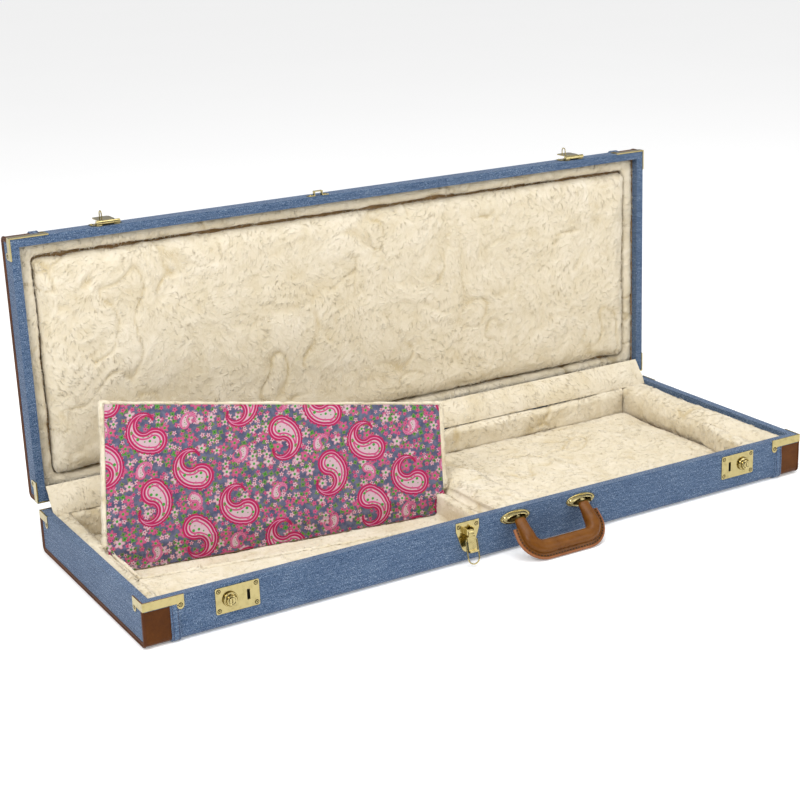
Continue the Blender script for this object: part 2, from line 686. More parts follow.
def screw_shape(radius=0.0023, tall=0.0006):
    """A low domed head with a cross recess, its axis along Z."""
    profile = [(0, -0.0004), (radius, -0.0004), (radius, 0.0001)]
    profile += [(radius * math.cos(t), tall * math.sin(t)) for t in (0.35, 0.75, 1.15)] + [(0, tall)]
    head = lathe("screw", profile, (0, 0, 0), (0, 0, 1), None, 20)
    for angle in (0.4, 0.4 + math.pi / 2):
        bm = bmesh.new()
        bmesh.ops.create_cube(bm, size=1.0)
        bmesh.ops.scale(bm, vec=(radius * 1.25, radius * 0.30, tall * 1.3), verts=bm.verts)
        bmesh.ops.rotate(bm, cent=(0, 0, 0), matrix=Matrix.Rotation(angle, 3, "Z"), verts=bm.verts)
        bmesh.ops.translate(bm, vec=(0, 0, tall), verts=bm.verts)
        mesh = bpy.data.meshes.new("slot")
        bm.to_mesh(mesh)
        bm.free()
        slot = bpy.data.objects.new("slot", mesh)
        bpy.context.scene.collection.objects.link(slot)
        cut = head.modifiers.new("slot", "BOOLEAN")
        cut.operation = "DIFFERENCE"
        cut.object = slot
        baked(head)
        bpy.data.objects.remove(slot)
    shape = [tuple(v.co) for v in head.data.vertices], [tuple(p.vertices) for p in head.data.polygons]
    bpy.data.objects.remove(head)
    return shape


def turned_shape(profile):
    head = lathe("turned", profile, (0, 0, 0), (0, 0, 1), None, 20)
    shape = [tuple(v.co) for v in head.data.vertices], [tuple(p.vertices) for p in head.data.polygons]
    bpy.data.objects.remove(head)
    return shape


def rivet_shape(radius=0.0024, tall=0.0012):
    profile = [(0, -0.0004), (radius, -0.0004)]
    profile += [(radius * math.cos(t), tall * math.sin(t)) for t in (0.0, 0.4, 0.8, 1.2)] + [(0, tall)]
    return turned_shape(profile)


def seat_shape(radius=0.0031, tall=0.00025):
    """The dark dished seat round a screw head."""
    return turned_shape([(0, -0.0003), (radius, -0.0003), (radius, 0.0), (radius * 0.9, tall), (0, tall)])


def soften(node, width, segments=2):
    """Rounds a CAD node's edges for the eye. The node's own mesh stays as it is."""
    obj = NODES[node]
    weld = obj.modifiers.new("weld", "WELD")
    weld.merge_threshold = 0.00001
    bevel = obj.modifiers.new("round", "BEVEL")
    bevel.width = width
    bevel.segments = segments
    bevel.limit_method = "ANGLE"
    bevel.angle_limit = math.radians(50)
    bevel.harden_normals = False


# Smooth random fields


def field(spots, size, seed):
    """Smooth random values from about -1 to 1 over spots, size metres from bump to bump."""
    scaled = spots / size
    cell = np.floor(scaled).astype(np.int64)
    part = scaled - cell
    part = part * part * (3 - 2 * part)
    total = np.zeros(len(spots))
    for corner in product((0, 1), repeat=3):
        at = cell + np.array(corner)
        mixed = at[:, 0] * 73856093 ^ at[:, 1] * 19349663 ^ at[:, 2] * 83492791 ^ seed * 2654435761
        mixed = (mixed ^ (mixed >> 13)) * 1274126177 & 0x7FFFFFFF
        value = mixed % 100003 / 50001.5 - 1
        total += np.prod(np.where(np.array(corner), part, 1 - part), axis=1) * value
    return total


def smooth(value, low, high):
    part = np.clip((value - low) / (high - low), 0, 1)
    return part * part * (3 - 2 * part)


def lengths(vectors):
    return np.linalg.norm(vectors, axis=1, keepdims=True) + 1e-9


def spots_of(obj):
    spots = np.zeros(len(obj.data.vertices) * 3, np.float32)
    obj.data.vertices.foreach_get("co", spots)
    return spots.reshape(-1, 3).astype(float)


def normals_of(obj):
    normals = np.zeros(len(obj.data.vertices) * 3, np.float32)
    obj.data.vertex_normals.foreach_get("vector", normals)
    return normals.reshape(-1, 3).astype(float)


def set_spots(obj, spots):
    obj.data.vertices.foreach_set("co", spots.astype(np.float32).ravel())
    obj.data.update()


def set_pile(obj, values):
    pile = obj.data.attributes.new("pile", "FLOAT", "POINT")
    pile.data.foreach_set("value", np.clip(values, 0, 1).astype(np.float32))


# Plush pads


def pad_from(name, node, voxel):
    """A pad of even small faces in the space of a CAD solid, a little inside it."""
    mesh = NODES[node].data.copy()
    mesh.materials.clear()
    made = bpy.data.objects.new(name, mesh)
    bpy.context.scene.collection.objects.link(made)
    weld = made.modifiers.new("weld", "WELD")
    weld.merge_threshold = 0.00001
    even = made.modifiers.new("even", "REMESH")
    even.mode = "VOXEL"
    even.voxel_size = voxel
    return baked(made)


def swell(pads):
    """Lets the cloth of each pad fill out under pressure, all at once, and applies the result."""
    started = {pad.name: spots_of(pad) for pad, _, _ in pads}
    for pad, pressure, _ in pads:
        cloth = pad.modifiers.new("cloth", "CLOTH")
        cloth.settings.quality = 3
        cloth.settings.mass = 0.3
        cloth.settings.tension_stiffness = 12
        cloth.settings.compression_stiffness = 12
        cloth.settings.bending_stiffness = 0.4
        cloth.settings.use_pressure = True
        cloth.settings.uniform_pressure_force = pressure
        cloth.settings.effector_weights.gravity = 0
        cloth.point_cache.frame_start = 1
        cloth.point_cache.frame_end = SWELL_FRAMES
    for step in range(1, SWELL_FRAMES + 1):
        bpy.context.scene.frame_set(step)
    for pad, _, cap in pads:
        baked(pad)
        begun = started[pad.name]
        moved = spots_of(pad) - begun
        far = lengths(moved)
        set_spots(pad, begun + moved * np.minimum(1, cap / far))
    bpy.context.scene.frame_set(1)


def lie_of(spots, normals, seed):
    """The way that the pile lies at each spot."""
    lie = np.stack([field(spots, 0.060, seed + i) for i in range(3)], 1)
    lie += 0.55 * np.stack([field(spots, 0.021, seed + 3 + i) for i in range(3)], 1)
    lie -= normals * (lie * normals).sum(1, keepdims=True)
    return lie / lengths(lie)


def crush(pad, seed, deep=1.0, plump=0.0):
    """Plumps a pad out and gives it the hills, creases and locks of crushed pile."""
    spots, normals = spots_of(pad), normals_of(pad)
    spots = spots + normals * plump
    swirl = np.stack([field(spots, 0.050, seed + i) for i in range(3)], 1) * 0.022
    warped = spots + swirl
    hills = field(warped, 0.033, seed + 5)
    crease = np.exp(-((field(warped, 0.038, seed + 7) / 0.085) ** 2))
    crease *= smooth(field(spots, 0.075, seed + 9), -0.15, 0.35)
    lie = lie_of(spots, normals, seed)
    combed = warped + lie * (field(warped, 0.009, seed + 12) * 0.006)[:, None]
    locks = field(combed, 0.0085, seed + 11)
    tall = 0.0012 * hills - 0.0019 * crease + 0.0007 * locks
    set_spots(pad, spots + normals * (tall * deep)[:, None])
    set_pile(pad, 0.58 + 0.07 * hills - 0.24 * crease + 0.10 * locks)


TUFT_FACES = ((0, 1, 4, 3), (1, 2, 5, 4), (2, 0, 3, 5), (3, 4, 6), (4, 5, 6), (5, 3, 6), (2, 1, 0))


def tufts(pad, name, per_square_metre, facing, seed, long=TUFT_LONG, room=None):
    """Locks of pile over the sides of a pad that face these ways, each a closed curved blade.

    Room is the lowest and highest corner that they stay within.
    """
    mesh = pad.data
    mesh.calc_loop_triangles()
    corners = np.array([t.vertices[:] for t in mesh.loop_triangles])
    normals = np.array([t.normal[:] for t in mesh.loop_triangles])
    areas = np.array([t.area for t in mesh.loop_triangles])
    shown = np.max(normals @ np.array(facing, float).T, axis=1) > 0.45
    corners, normals, areas = corners[shown], normals[shown], areas[shown]
    rng = np.random.default_rng(seed)
    count = int(areas.sum() * per_square_metre)
    chosen = rng.choice(len(areas), size=count, p=areas / areas.sum())
    a, b = rng.random((2, count))
    a, b = np.where(a + b > 1, 1 - a, a), np.where(a + b > 1, 1 - b, b)
    spots = spots_of(pad)[corners[chosen]]
    roots = spots[:, 0] + (spots[:, 1] - spots[:, 0]) * a[:, None] + (spots[:, 2] - spots[:, 0]) * b[:, None]
    up = normals[chosen]
    lie = lie_of(roots, up, seed)
    stray = rng.normal(0, 0.24, (count, 3))
    lie = lie + stray - up * (stray * up).sum(1, keepdims=True)
    lie /= lengths(lie)
    side = np.cross(up, lie)
    run = (long * rng.uniform(0.55, 1.25, count))[:, None]
    lift = run * rng.uniform(0.0, 0.045, count)[:, None]
    wide = rng.uniform(0.00022, 0.00055, count)[:, None]
    bend = side * run * rng.normal(0, 0.14, count)[:, None]
    middle = roots + lie * run * 0.5 + up * lift + bend
    tip = roots + lie * run + up * lift * rng.uniform(0.2, 1.0, count)[:, None] + bend * 2.4
    if room:
        middle, tip = (np.clip(spots, room[0], room[1]) for spots in (middle, tip))
    root = roots - up * 0.0012
    blade = np.stack([
        root - side * wide,
        root + side * wide,
        root + up * (0.0012 + wide * 0.4),
        middle - side * wide - up * TUFT_SUNK,
        middle + side * wide - up * TUFT_SUNK,
        middle + up * wide * 0.4,
        tip,
    ], 1)
    faces = [tuple(k + 7 * i for k in face) for i in range(count) for face in TUFT_FACES]
    made_mesh = bpy.data.meshes.new(name)
    made_mesh.from_pydata(blade.reshape(-1, 3).tolist(), [], faces)
    made_mesh.materials.append(PLUSH)
    made_mesh.shade_smooth()
    made = bpy.data.objects.new(name, made_mesh)
    bpy.context.scene.collection.objects.link(made)
    tone = rng.uniform(0.48, 0.76, count)[:, None] + np.array([-0.14, -0.14, -0.12, 0.0, 0.0, 0.03, 0.08])
    set_pile(made, tone.ravel())
    return made


DENIM = denim()
DENIM_FOLD = denim("denim_fold", 0.05)
LEATHER = leather("leather_brown", rgb(68, 33, 2), rgb(100, 56, 12))
LEATHER_WELT = leather("leather_welt", rgb(62, 30, 8), rgb(102, 58, 26), 0.5)
LEATHER_HANDLE = leather("leather_handle", rgb(90, 50, 6), rgb(124, 76, 20), 0.34, 0.05, 0.20)
LEATHER_EDGE = leather("leather_edge", rgb(124, 76, 46), rgb(160, 108, 74), 0.5)
BRASS = metal("brass", rgb(180, 166, 117), rgb(134, 119, 72), 0.16)
BRASS_SHADE = metal("brass_shade", rgb(74, 62, 32), rgb(40, 34, 16), 0.45)
STEEL = metal("steel", rgb(196, 196, 198), rgb(140, 140, 140), 0.35)
PLUSH = plush()
PAISLEY = paisley()
PLY = wood()
SEAM_THREAD = thread("seam_thread", rgb(58, 52, 78))
DARK_THREAD = thread("dark_thread", rgb(34, 20, 12))

PADS = {
    # CAD node: (voxel, body, pressure, cap, ways that show)
    "lid_pad": (SOFT_VOXEL, "lid", 3.0, 0.0045, [(0, -1, 0), (0, 0, 1), (1, 0, 0), (-1, 0, 0), (0, 0, -1)]),
    "lid_border": (0.0045, "lid", 2.0, 0.0025, [(0, -1, 0), (0, 0, 1), (0, 0, -1), (1, 0, 0), (-1, 0, 0)]),
    "front_lining": (THIN_VOXEL, "base", 2.0, 0.0020, [(0, 1, 0), (0, 0, 1)]),
    "back_lining": (0.0045, "base", 2.0, 0.0030, [(0, -1, 0), (0, 0, 1)]),
    "left_end_pad": (0.0045, "base", 2.5, 0.0040, [(1, 0, 0), (0, 0, 1)]),
    "right_end_pad": (0.0050, "base", 2.5, 0.0045, [(-1, 0, 0), (0, 0, 1)]),
    "body_floor_pad": (SOFT_VOXEL, "base", 3.0, 0.0040, [(0, 0, 1)]),
    "front_corner_block": (0.0045, "base", 2.0, 0.0035, [(-1, 0, 0), (0, 0, 1)]),
    "neck_block": (0.0045, "base", 2.0, 0.0040, [(0, 0, 1), (1, 0, 0), (-1, 0, 0), (0, 1, 0)]),
    "neck_rest": (0.0045, "base", 2.0, 0.0030, [(0, 0, 1), (1, 0, 0), (-1, 0, 0)]),
    "neck_floor_pad": (SOFT_VOXEL, "base", 2.0, 0.0030, [(0, 0, 1)]),
    "pocket_wall": (THIN_VOXEL, "base", 1.0, 0.0010, [(0, 1, 0), (0, 0, 1)]),
    "pocket_ledge": (0.0045, "base", 1.5, 0.0020, [(0, 0, 1)]),
}
UNDER_POCKET_LID = ("pocket_ledge", "front_lining", "left_end_pad", "neck_block")
POCKET_LID_ROOM = 0.0038
POCKET_LID_LAP = 0.0012
POCKET_LID_NEAR = 0.0018
TUFTS_PER_SQUARE_METRE = 60000
PLUMP = 0.0011


def pile_room(body):
    """The space between the walls, with a little more where fibres lap over the rim."""
    boxes = [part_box(node) for node, (_, on, _, _, _) in PADS.items() if on == body]
    low = np.min([box[0] for box in boxes], axis=0)
    high = np.max([box[1] for box in boxes], axis=0)
    if body == "lid":
        low, high = low - [0.0025, 0.006, 0.0025], high + [0.0025, 0.0, 0.0025]
    else:
        low, high = low - [0.0025, 0.0025, 0.0], high + [0.0025, 0.0025, 0.008]
    return low, high


def leave_room(spots, clear):
    """Spots moved out of the shut pocket lid's way: down, forward or sideways, whichever is nearest."""
    back_left, back_right, front_right, _ = pocket_outline(PLUSH_INSET, POCKET_LID_NEAR)
    bottom = shut_box("pocket_lid_lining", POCKET_OPEN)[0].z - POCKET_LID_LAP - clear
    top = shut_box("pocket_lid_fur", POCKET_OPEN)[1].z + clear
    left, right, front = back_left[0] - clear, back_right[0] + clear, front_right[1] - clear
    slope = (back_right[1] - back_left[1]) / (back_right[0] - back_left[0])
    x, y, z = spots.T
    hinge_side = back_left[1] + slope * (x - back_left[0]) + clear
    within = (x > left) & (x < right) & (y > front) & (y < hinge_side) & (z > bottom) & (z < top)
    nearest = np.argmin([z - bottom, y - front, x - left, right - x], axis=0)
    moved = spots.copy()
    moved[within & (nearest == 0), 2] = bottom
    moved[within & (nearest == 1), 1] = front
    moved[within & (nearest == 2), 0] = left
    moved[within & (nearest == 3), 0] = right
    return moved


def make_pads():
    pads = {}
    room = {body: pile_room(body) for body in ("base", "lid")}
    for node, (voxel, _, _, _, _) in PADS.items():
        pads[node] = pad_from(node + "_plush", node, voxel)
    swell([(pads[node], PADS[node][2], PADS[node][3]) for node in PADS])
    for number, (node, pad) in enumerate(pads.items()):
        voxel, body, _, _, facing = PADS[node]
        finer = pad.modifiers.new("finer", "SUBSURF")
        finer.levels = 1
        finer.render_levels = 1
        baked(pad)
        seed = 40 * number + 11
        thin = voxel == THIN_VOXEL
        crush(pad, seed, 0.7 if thin else 1.0, 0.0 if thin else PLUMP)
        if node in UNDER_POCKET_LID:
            set_spots(pad, leave_room(spots_of(pad), POCKET_LID_ROOM))
        pad.data.materials.append(PLUSH)
        pad.data.shade_smooth()
        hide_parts(node)
        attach(pad, body)
        pile = tufts(pad, node + "_pile", TUFTS_PER_SQUARE_METRE, facing, seed, TUFT_LONG, room[body])
        if node in UNDER_POCKET_LID:
            set_spots(pile, leave_room(spots_of(pile), POCKET_LID_ROOM - 0.0008))
        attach(pile, body)


# Denim binding, leather welts and stitching


def around(half, stop=0.0, steps=7):
    """Down the front of a shut half, over its closed face and up the back: (y, z, outward)."""
    tall, radius = TALL[half], EDGE_RADIUS
    spots = []
    for k in range(6):
        spots.append((-WALL, tall - stop - (tall - stop - radius) * k / 5, (-1, 0)))
    for k in range(1, steps):
        angle = math.pi + math.pi / 2 * k / steps
        ny, nd = math.cos(angle), math.sin(angle)
        spots.append((radius - WALL + radius * ny, radius + radius * nd, (ny, nd)))
    flats = 30
    for k in range(flats + 1):
        spots.append(((radius - WALL) * (1 - 2 * k / flats), 0.0, (0, -1)))
    mirrored = [(-y, depth, (-ny, nd)) for y, depth, (ny, nd) in reversed(spots[:-flats - 1])]
    spots += mirrored
    placed = []
    for y, depth, (ny, nd) in spots:
        if half == "base":
            placed.append((y, depth, Vector((0, ny, nd))))
        else:
            placed.append((y, LID_HIGH.z - depth, Vector((0, ny, -nd))))
    return placed


def along_path(spots, pitch):
    """Even places along a line of spots: (spot, direction, share of the way)."""
    steps = [(b - a).length for a, b in zip(spots, spots[1:])]
    total = sum(steps)
    count = int(total / pitch)
    places, walked, k = [], 0.0, 0
    for i in range(count):
        wanted = (i + 0.5) * total / count
        while walked + steps[k] < wanted:
            walked += steps[k]
            k += 1
        part = (wanted - walked) / steps[k]
        places.append((spots[k].lerp(spots[k + 1], part), (spots[k + 1] - spots[k]).normalized(), k))
    return places


def binding(half, side):
    """The folded denim strip that covers where cloth and leather meet, with two rows of stitches."""
    name = f"{half}_binding_{'left' if side < 0 else 'right'}"
    path = around(half, GUARD_DEEP + 0.0002)
    inner, outer = LEATHER_FROM - BAND_WIDE, LEATHER_FROM + 0.0004
    fold = 0.0009
    outline = [
        (inner, -0.0003),
        (inner, BAND_THICK * 0.6),
        (inner + fold * 0.4, BAND_THICK),
        (inner + fold * 1.4, BAND_THICK * 1.15),
        (inner + STITCH_INSET, BAND_THICK * 0.55),
        (inner + STITCH_INSET * 1.5, BAND_THICK * 1.05),
        (outer - STITCH_INSET * 1.5, BAND_THICK * 1.05),
        (outer - STITCH_INSET, BAND_THICK * 0.55),
        (outer - fold * 1.4, BAND_THICK * 1.15),
        (outer - fold * 0.4, BAND_THICK),
        (outer, BAND_THICK * 0.6),
        (outer, -0.0003),
    ]
    stations = [(Vector((0, y, z)), Vector((side, 0, 0)), out) for y, z, out in path]
    rim = BASE_HIGH.z if half == "base" else LID_LOW.z
    outlines = []
    for _, z, out in path:
        full = min(1.0, 0.5 + 0.5 * max(0.0, abs(rim - z) - GUARD_TAB) / 0.003)
        outlines.append([(a, b * full if b > 0 else b) for a, b in outline])
    band = sweep(name, stations, outlines, DENIM_FOLD, sharp=60)
    settle(band, half)
    rows = []
    for x in (inner + STITCH_INSET, outer - STITCH_INSET):
        lifted = [Vector((side * x, y, z)) + out * BAND_THICK * 0.68 for y, z, out in path]
        for spot, way, k in along_path(lifted, STITCH_PITCH):
            rows.append(stood(spot, way, path[k][2]))
    stitches = copies(name + "_stitches", stitch_shape(0.0025, 0.00045), rows, SEAM_THREAD)
    settle(stitches, half)


def end_welt(half, side):
    """Leather turned on to an end face: a beaded edge and a flat strip, below the brass corners."""
    name = f"{half}_end_welt_{'left' if side < 0 else 'right'}"
    path = around(half, GUARD_DEEP + 0.0002)
    bead = WELT_BEAD
    outline = [(-0.0006, -0.0012)]
    outline += [
        (0.0008 - bead * math.cos(t), 0.0002 + bead * math.sin(t))
        for t in np.linspace(-0.3, math.pi - 0.45, 9)
    ]
    outline += [
        (0.0026, 0.0005),
        (0.0031, 0.0010),
        (WELT_WIDE - 0.0008, 0.0010),
        (WELT_WIDE, 0.0005),
        (WELT_WIDE, -0.0003),
    ]
    stations = [(Vector((side * END, y, z)), -out, Vector((side, 0, 0))) for y, z, out in path]
    welt = sweep(name, stations, [outline] * len(stations), LEATHER_WELT, sharp=50)
    settle(welt, half)


# Brass


def plate_spots():
    """Where screws and rivets hold brass on: (body, kind, spot, outward)."""
    front, back = Vector((0, -1, 0)), Vector((0, 1, 0))
    spots = []
    for half in ("base", "lid"):
        opened = OPENED[half]
        for face, where in ((-1, "front"), (1, "back")):
            for side, hand in ((-1, "left"), (1, "right")):
                low, high = shut_box(f"{half}_corner_{where}_{hand}", opened)
                rim = high.z if half == "base" else low.z
                down = -0.0135 if half == "base" else 0.0135
                across = (low.x + 0.005) if side > 0 else (high.x - 0.005)
                outside = low.y if face < 0 else high.y
                spots.append((half, "screw", (across, outside, rim + down), (0, face, 0)))
                inner = (low.y + 0.005) if face > 0 else (high.y - 0.005)
                outside = high.x if side > 0 else low.x
                spots.append((half, "screw", (outside, inner, rim + down), (side, 0, 0)))
    for hand in ("left", "right"):
        low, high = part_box(f"lock_{hand}_plate")
        for x in (low.x + 0.0045, high.x - 0.0045):
            for z in (low.z + 0.0045, high.z - 0.0045):
                spots.append(("base", "screw", (x, low.y, z), front))
        low, high = shut_box(f"hasp_{hand}_base", LID_OPEN)
        for x in (low.x + 0.0028, high.x - 0.0028):
            spots.append(("lid", "rivet", (x, high.y - 0.001, high.z - 0.0045), front))
        low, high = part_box(f"handle_mount_{hand}")
        middle = (low.z + high.z) / 2
        for x in (low.x + 0.0033, high.x - 0.0033):
            spots.append(("base", "rivet", (x, high.y - 0.0013, middle), front))
    low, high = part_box("latch_plate")
    middle = (low.x + high.x) / 2
    top = high.z - 0.0060
    for x, z in ((low.x + 0.0045, top), (high.x - 0.0045, top), (middle, low.z + 0.0050)):
        spots.append(("base", "screw", (x, high.y - 0.001, z), front))
    low, high = shut_box("lid_catch", LID_OPEN)
    for x in (low.x + 0.0045, high.x - 0.0045):
        spots.append(("lid", "rivet", (x, high.y - 0.001, (low.z + high.z) / 2 + 0.0006), front))
    for hand in ("left", "middle", "right"):
        low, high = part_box(f"hinge_{hand}_base_leaf")
        for share in (0.12, 0.5, 0.88):
            x = low.x + (high.x - low.x) * share
            spots.append(("base", "screw", (x, low.y + 0.0012, low.z + 0.0070), back))
        low, high = shut_box(f"hinge_{hand}_lid_leaf", LID_OPEN)
        for share in (0.12, 0.5, 0.88):
            x = low.x + (high.x - low.x) * share
            spots.append(("lid", "screw", (x, low.y + 0.0012, high.z - 0.0060), back))
    return spots


def fasteners():
    shapes = {"screw": screw_shape(), "rivet": rivet_shape()}
    for body in ("base", "lid"):
        seats = []
        for kind, shape in shapes.items():
            places = []
            for number, (on, what, spot, outward) in enumerate(plate_spots()):
                if (on, what) == (body, kind):
                    turned = Matrix.Rotation(1.7 * number, 4, "Z")
                    side = Vector((0, 0, 1)) if abs(outward[2]) < 0.5 else Vector((1, 0, 0))
                    places.append(stood(spot, side, outward) @ turned)
            settle(copies(f"{body}_{kind}s", shape, places, BRASS), body)
            seats += places
        settle(copies(f"{body}_screw_seats", seat_shape(), seats, BRASS_SHADE), body)


def lock_knob(hand):
    """A dished collar with a stepped crown round the key cylinder."""
    low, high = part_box(f"lock_{hand}_knob")
    cylinder_low, cylinder_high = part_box(f"lock_{hand}_cylinder")
    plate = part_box(f"lock_{hand}_plate")[0].y
    spot = Vector(((cylinder_low.x + cylinder_high.x) / 2, plate, (low.z + high.z) / 2))
    wide = (high.z - low.z) / 2
    profile = [
        (0, 0.0003),
        (wide * 0.90, 0.0003),
        (wide, 0.0010),
        (wide, 0.0028),
        (wide * 0.95, 0.0036),
        (wide * 0.86, 0.0036),
        (wide * 0.78, 0.0027),
        (wide * 0.72, 0.0030),
        (wide * 0.70, 0.0055),
        (wide * 0.66, 0.0066),
        (wide * 0.56, 0.0070),
        (wide * 0.47, 0.0066),
        (wide * 0.46, 0.0050),
        (0, 0.0050),
    ]
    knob = lathe(f"lock_{hand}_knob_turned", profile, spot, (0, -1, 0), BRASS, 48)
    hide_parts(f"lock_{hand}_knob")
    settle(knob, f"lock_{hand}_knob")


def handle_mount(hand):
    """An oval plate with a raised, fluted brow above the recess that the handle's end turns in."""
    low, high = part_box(f"handle_mount_{hand}")
    middle = (low.x + high.x) / 2
    wide, tall = (high.x - low.x) / 2, (high.z - low.z) / 2 + 0.0008
    rings = (
        # (share of the oval, flat height, share of the brow, flutes)
        (1.00, -0.0003, 0.0, 0.0),
        (1.00, 0.0007, 0.0, 0.0),
        (0.96, 0.0013, 0.0, 0.0),
        (0.84, 0.0013, 0.0, 0.0),
        (0.80, 0.0014, 0.22, 0.5),
        (0.75, 0.0020, 0.72, 1.0),
        (0.68, 0.0026, 1.0, 1.0),
        (0.61, 0.0026, 1.0, 0.6),
        (0.57, 0.0020, 0.82, 0.0),
        (0.55, 0.0008, 0.2, 0.0),
        (0.53, 0.0004, 0.0, 0.0),
    )
    steps, flutes, brow = 168, 42, 0.0062
    spots, faces = [], []
    for share, height, lifted, fluted in rings:
        for k in range(steps):
            angle = math.tau * k / steps
            above = max(0.0, math.sin(angle) * 0.75 + 0.25)
            ridge = 1 + 0.10 * fluted * math.cos(flutes * angle) * min(1.0, above * 3)
            out = height + brow * lifted * above**0.8 * ridge
            x = middle + wide * share * math.cos(angle)
            z = HANDLE_PIVOT.z + tall * share * math.sin(angle) * (1 + 0.06 * lifted)
            spots.append((x, high.y - out, z))
    spots += [(middle, high.y + 0.0003, HANDLE_PIVOT.z), (middle, high.y - 0.0004, HANDLE_PIVOT.z)]
    last = (len(rings) - 1) * steps
    for k in range(steps):
        m = (k + 1) % steps
        for ring in range(len(rings) - 1):
            a = ring * steps
            faces.append((a + k, a + m, a + steps + m, a + steps + k))
        faces.append((len(spots) - 2, m, k))
        faces.append((len(spots) - 1, last + k, last + m))
    boss = piece(f"handle_mount_{hand}_oval", spots, faces, BRASS, 50)
    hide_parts(f"handle_mount_{hand}")
    settle(boss, "base")
    pin = lathe(
        f"handle_mount_{hand}_pin",
        [(0, -0.0120), (0.0016, -0.0120), (0.0016, 0.0120), (0, 0.0120)],
        (middle, HANDLE_PIVOT.y, HANDLE_PIVOT.z),
        (1, 0, 0),
        BRASS_SHADE,
        16,
    )
    settle(pin, "base")
    for side in (-1, 1):
        x = middle + side * 0.0112
        lug = box_piece(
            f"handle_mount_{hand}_lug_{'left' if side < 0 else 'right'}",
            (x - 0.0010, HANDLE_PIVOT.y - 0.0022, HANDLE_PIVOT.z - 0.0028),
            (x + 0.0010, high.y - 0.0002, HANDLE_PIVOT.z + 0.0026),
            BRASS_SHADE,
            0.0006,
        )
        settle(lug, "base")


def box_piece(name, low, high, look=None, radius=0.0):
    bm = bmesh.new()
    bmesh.ops.create_cube(bm, size=1.0)
    bmesh.ops.scale(bm, vec=Vector(high) - Vector(low), verts=bm.verts)
    bmesh.ops.translate(bm, vec=(Vector(high) + Vector(low)) / 2, verts=bm.verts)
    if radius:
        bmesh.ops.bevel(bm, geom=bm.edges, offset=radius, segments=3, profile=0.5, affect="EDGES")
    mesh = bpy.data.meshes.new(name)
    bm.to_mesh(mesh)
    bm.free()
    if look:
        mesh.materials.append(look)
    made = bpy.data.objects.new(name, mesh)
    bpy.context.scene.collection.objects.link(made)
    return made


# Handle


def handle_path():
    """The middle line of the handle as it hangs: (spot, direction, outer side, share of the way)."""
    half, corner = HANDLE_EYE, HANDLE_CORNER
    leg = HANDLE_DROP - corner
    spots = [(-half, -leg * k / 6) for k in range(6)]
    for k in range(11):
        angle = math.pi + math.pi / 2 * k / 10
        spots.append((-half + corner + corner * math.cos(angle), -leg + corner * math.sin(angle)))
    flat = half - corner
    spots += [(-flat + 2 * flat * k / 12, -HANDLE_DROP) for k in range(1, 12)]
    for k in range(11):
        angle = -math.pi / 2 + math.pi / 2 * k / 10
        spots.append((half - corner + corner * math.cos(angle), -leg + corner * math.sin(angle)))
    spots += [(half, -leg + leg * k / 6) for k in range(1, 7)]
    return [HANDLE_PIVOT + Vector((x, 0, z)) for x, z in spots]


def swung(obj):
    """Turns a hanging piece of the handle out to where it rests."""
    spot = Matrix.Translation(HANDLE_PIVOT)
    obj.data.transform(spot @ Matrix.Rotation(HANDLE_REST, 4, "X") @ spot.inverted())
    return obj


def make_handle():
    path = handle_path()
    stations, outlines, welts = [], [], []
    walked = [0.0]
    for a, b in zip(path, path[1:]):
        walked.append(walked[-1] + (b - a).length)
    total = walked[-1]
    facing = Vector((0, -1, 0))
    sides = 24
    for k, spot in enumerate(path):
        before, after = path[max(0, k - 1)], path[min(len(path) - 1, k + 1)]
        way = (after - before).normalized()
        outward = way.cross(facing).normalized()
        if outward.dot(spot - (HANDLE_PIVOT + Vector((0, 0, -0.02)))) < 0:
            outward = -outward
        share = min(walked[k], total - walked[k]) / 0.034
        plump = float(smooth(np.array(share), 0.0, 1.0))
        a = HANDLE_RADIUS * (0.80 + 0.19 * plump)
        b = HANDLE_RADIUS * (0.40 + 0.58 * plump)
        ring = []
        for m in range(sides):
            angle = math.tau * m / sides
            c, s = math.cos(angle), math.sin(angle)
            radial = a * math.copysign(abs(c) ** 0.86, c) - GRIP_INWARD
            ring.append((radial, b * math.copysign(abs(s) ** 0.86, s)))
        stations.append((spot, outward, facing))
        outlines.append(ring)
        welts.append(a)
    grip = sweep("handle_leather", stations, outlines, LEATHER_HANDLE, sharp=80)
    finer = grip.modifiers.new("finer", "SUBSURF")
    finer.levels = finer.render_levels = 1
    baked(grip)
    spots, normals = spots_of(grip), normals_of(grip)
    wrinkle = 0.00022 * field(spots, 0.006, 5) + 0.00030 * field(spots * np.array([1, 1, 1.6]), 0.017, 8)
    set_spots(grip, spots + normals * wrinkle[:, None])
    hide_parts("handle_grip")
    settle(swung(grip), "handle")

    first, last = 3, len(path) - 3
    rims = (
        # (name, leather, inner edge, outer edge, half its thickness)
        ("handle_flange", LEATHER_HANDLE, -0.0042, 0.0042, 0.0017),
        ("handle_edge", LEATHER_EDGE, 0.0038, 0.0063, 0.0015),
    )
    for name, look, inner, outer, half in rims:
        outline = [
            [
                (a + inner, -half * 1.2),
                (a + outer - 0.0007, -half),
                (a + outer, -half * 0.5),
                (a + outer, half * 0.5),
                (a + outer - 0.0007, half),
                (a + inner, half * 1.2),
            ]
            for a in welts[first:last]
        ]
        settle(swung(sweep(name, stations[first:last], outline, look, sharp=50)), "handle")
    rows = []
    for face in (-1, 1):
        line = [s[0] + s[1] * (a + 0.0020) + facing * face * 0.0021 for s, a in zip(stations, welts)]
        line = line[first:last]
        for spot, way, _ in along_path(line, 0.0046):
            rows.append(stood(spot, way, facing * face))
    stitches = copies("handle_stitches", stitch_shape(0.0029, 0.00075), rows, DARK_THREAD)
    settle(swung(stitches), "handle")


# Pocket lid


